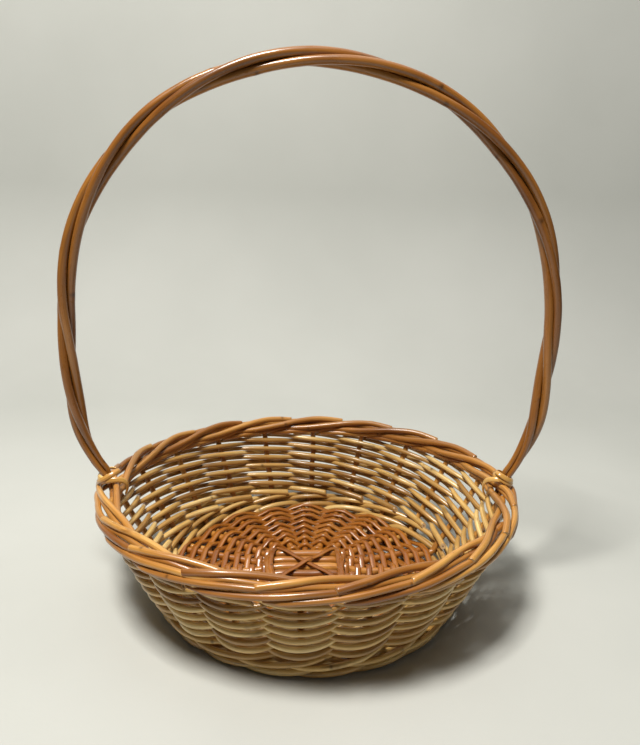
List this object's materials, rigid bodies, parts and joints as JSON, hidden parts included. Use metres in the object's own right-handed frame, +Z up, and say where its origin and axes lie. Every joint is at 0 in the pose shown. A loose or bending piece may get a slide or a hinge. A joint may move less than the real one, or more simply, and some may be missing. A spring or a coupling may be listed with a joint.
{
  "type": "wicker gift basket",
  "caption": "Oval stake-and-strand willow basket with a round woven base, rolled rod border and a tall fixed handle of three twisted rods.",
  "frame": {"origin": "on the surface the basket stands on, under the middle of its bounding box", "axes": "+Z up; X along the handle's hoop and the rim's long axis; Y across the handle"},
  "size_m": [0.4109, 0.323, 0.448],
  "materials": {
    "peeled_willow": "clear varnished peeled willow",
    "varnished_willow": "glossy golden varnished willow",
    "base_willow": "varnished willow sticks",
    "split_willow": "glossy split willow skein",
    "handle_willow": "glossy brown varnished willow"
  },
  "bodies": {
    "root": {"side_stake_01": "varnished_willow", "side_stake_02": "varnished_willow", "side_stake_03": "varnished_willow", "side_stake_04": "varnished_willow", "side_stake_05": "varnished_willow", "side_stake_06": "varnished_willow", "side_stake_07": "varnished_willow", "side_stake_08": "varnished_willow", "side_stake_09": "varnished_willow", "side_stake_10": "varnished_willow", "side_stake_11": "varnished_willow", "side_stake_12": "varnished_willow", "side_stake_13": "varnished_willow", "side_stake_14": "varnished_willow", "side_stake_15": "varnished_willow", "side_stake_16": "varnished_willow", "side_stake_17": "varnished_willow", "side_stake_18": "varnished_willow", "side_stake_19": "varnished_willow", "side_stake_20": "varnished_willow", "wall_weaver_01": "peeled_willow", "wall_weaver_02": "peeled_willow", "wall_weaver_03": "peeled_willow", "wall_weaver_04": "peeled_willow", "wall_weaver_05": "peeled_willow", "wall_weaver_06": "peeled_willow", "wall_weaver_07": "peeled_willow", "wall_weaver_08": "peeled_willow", "wall_weaver_09": "peeled_willow", "wall_weaver_10": "peeled_willow", "wall_weaver_11": "peeled_willow", "wall_weaver_12": "peeled_willow", "wall_weaver_13": "peeled_willow", "wall_weaver_14": "peeled_willow", "wall_weaver_15": "peeled_willow", "wall_weaver_16": "peeled_willow", "wall_weaver_17": "peeled_willow", "wall_weaver_18": "peeled_willow", "wall_weaver_19": "peeled_willow", "wall_weaver_20": "peeled_willow", "wale_rod_1": "peeled_willow", "wale_rod_2": "peeled_willow", "foot_ring": "peeled_willow", "base_stick_1": "base_willow", "base_stick_2": "base_willow", "base_stick_3": "base_willow", "base_stick_4": "base_willow", "base_stick_5": "base_willow", "cross_stick_1": "base_willow", "cross_stick_2": "base_willow", "cross_stick_3": "base_willow", "cross_stick_4": "base_willow", "cross_stick_5": "base_willow", "handle_rod_1": "handle_willow", "handle_rod_2": "handle_willow", "handle_rod_3": "handle_willow", "base_weaver": "split_willow", "base_binding": "split_willow", "handle_tie_left": "split_willow", "handle_tie_right": "split_willow"}
  },
  "joints": []
}
